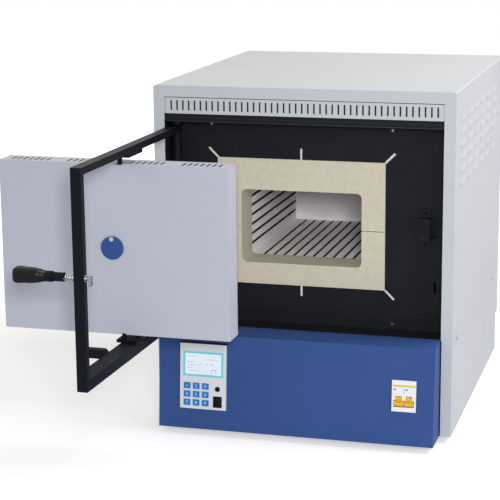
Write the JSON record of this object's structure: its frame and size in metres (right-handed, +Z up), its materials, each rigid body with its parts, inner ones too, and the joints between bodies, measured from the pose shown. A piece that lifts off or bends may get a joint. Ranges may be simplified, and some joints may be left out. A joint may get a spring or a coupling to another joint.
{
  "type": "jewellery kiln",
  "caption": "Bench-top jewellery kiln with a ceramic-lined chamber, a parallel-motion swing door with latch, a sloping control console and a slotted vent strip.",
  "frame": {"origin": "centre of the casing footprint on the standing plane, under the feet", "axes": "+X to the right seen from the front, +Y to the back, +Z up; the console and the door face -Y"},
  "size_m": [0.636, 0.9041, 0.529],
  "materials": {
    "casing": "satin powder coat",
    "black": "matt black powder coat",
    "blue": "satin powder coat",
    "ceramic": "fired, matt",
    "tile": "fired, matt",
    "board": "fibre board, matt",
    "steel": "brushed",
    "wire": "oxidised heating wire",
    "bezel": "moulded",
    "cyan": "moulded",
    "screen": "gloss",
    "key": "moulded",
    "dark_plastic": "moulded",
    "white_plastic": "moulded",
    "yellow": "moulded",
    "rubber": "moulded"
  },
  "bodies": {
    "kiln": {"outer_casing": "casing", "rear_panel": "casing", "base_pan": "casing", "chamber_shelf": "steel", "vent_strip": "casing", "fascia": "black", "recess_liner": "black", "front_plate": "black", "plate_screws": "steel", "side_screws": "steel", "mouth_upper": "ceramic", "mouth_lower": "ceramic", "tile_floor": "tile", "tile_roof": "tile", "tile_sides": "tile", "tile_rear": "tile", "heating_wires": "wire", "insulation_boards": "board", "thermocouple": "steel", "console_panel": "blue", "controller_bezel": "bezel", "controller_housing": "dark_plastic", "screen_frame": "cyan", "screen": "screen", "controller_ports": "dark_plastic", "breaker_body": "white_plastic", "mounting_rail": "steel", "solid_state_relay": "dark_plastic", "feet": "rubber", "cable_gland": "dark_plastic", "hinge_bushes": "steel", "latch_keeper": "black", "link_bracket": "black"},
    "frame": {"frame_tubes": "black", "far_tube": "black", "hinge_post": "black", "pivot_plates": "black", "stop_bracket": "black", "latch_bush": "steel", "latch_spring": "steel"},
    "door": {"door_shell": "casing", "door_rear": "steel", "door_insulation": "board", "door_pivots": "steel", "peephole_screw": "steel"},
    "peephole": {"peephole_cover": "blue"},
    "link": {"link_bar": "black"},
    "latch_carriage": {"latch_sleeve": "steel"},
    "latch_handle": {"latch_rod": "steel", "latch_grip": "dark_plastic"},
    "toggle": {"breaker_toggle": "yellow"},
    "key_1": {"key_1": "key"},
    "key_2": {"key_2": "key"},
    "key_3": {"key_3": "key"},
    "key_4": {"key_4": "key"},
    "key_5": {"key_5": "key"},
    "key_6": {"key_6": "key"},
    "key_7": {"key_7": "key"},
    "key_8": {"key_8": "key"},
    "key_9": {"key_9": "key"}
  },
  "joints": [
    {"name": "frame_swing", "type": "hinge", "parent": "kiln", "child": "frame", "pos_m": [-0.2, -0.24, 0.31], "axis": [0, 0, 1], "range_deg": [-12, 91]},
    {"name": "door_turn", "type": "hinge", "parent": "frame", "child": "door", "pos_m": [-0.22044, -0.43667, 0.31], "axis": [0, 0, 1], "range_deg": [-91, 12]},
    {"name": "link_swing", "type": "hinge", "parent": "kiln", "child": "link", "pos_m": [-0.17908, -0.2332, 0.185], "axis": [0, 0, 1], "range_deg": [-12, 91]},
    {"name": "latch_push", "type": "slide", "parent": "frame", "child": "latch_carriage", "axis": [0.9998, -0.0175, 0], "range_m": [0, 0.006], "stiffness_N_per_m": 900},
    {"name": "latch_turn", "type": "hinge", "parent": "latch_carriage", "child": "latch_handle", "pos_m": [-0.20688, -0.63394, 0.319], "axis": [0.9998, -0.0175, 0], "range_deg": [0, 90]},
    {"name": "peephole_turn", "type": "hinge", "parent": "door", "child": "peephole", "pos_m": [-0.23304, -0.44217, 0.3303], "axis": [0, 1, 0], "range_deg": [-100, 100]},
    {"name": "breaker_throw", "type": "hinge", "parent": "kiln", "child": "toggle", "pos_m": [0.168, -0.30967, 0.0752], "axis": [1, 0, 0], "range_deg": [0, 100]},
    {"name": "press_key_1", "type": "slide", "parent": "kiln", "child": "key_1", "axis": [0, 0.9967, -0.0814], "range_m": [0, 0.0008], "stiffness_N_per_m": 300},
    {"name": "press_key_2", "type": "slide", "parent": "kiln", "child": "key_2", "axis": [0, 0.9967, -0.0814], "range_m": [0, 0.0008], "stiffness_N_per_m": 300},
    {"name": "press_key_3", "type": "slide", "parent": "kiln", "child": "key_3", "axis": [0, 0.9967, -0.0814], "range_m": [0, 0.0008], "stiffness_N_per_m": 300},
    {"name": "press_key_4", "type": "slide", "parent": "kiln", "child": "key_4", "axis": [0, 0.9967, -0.0814], "range_m": [0, 0.0008], "stiffness_N_per_m": 300},
    {"name": "press_key_5", "type": "slide", "parent": "kiln", "child": "key_5", "axis": [0, 0.9967, -0.0814], "range_m": [0, 0.0008], "stiffness_N_per_m": 300},
    {"name": "press_key_6", "type": "slide", "parent": "kiln", "child": "key_6", "axis": [0, 0.9967, -0.0814], "range_m": [0, 0.0008], "stiffness_N_per_m": 300},
    {"name": "press_key_7", "type": "slide", "parent": "kiln", "child": "key_7", "axis": [0, 0.9967, -0.0814], "range_m": [0, 0.0008], "stiffness_N_per_m": 300},
    {"name": "press_key_8", "type": "slide", "parent": "kiln", "child": "key_8", "axis": [0, 0.9967, -0.0814], "range_m": [0, 0.0008], "stiffness_N_per_m": 300},
    {"name": "press_key_9", "type": "slide", "parent": "kiln", "child": "key_9", "axis": [0, 0.9967, -0.0814], "range_m": [0, 0.0008], "stiffness_N_per_m": 300}
  ],
  "couplings": [
    {"joint": "door_turn", "follows": "frame_swing", "ratio": -1},
    {"joint": "link_swing", "follows": "frame_swing", "ratio": 1}
  ]
}
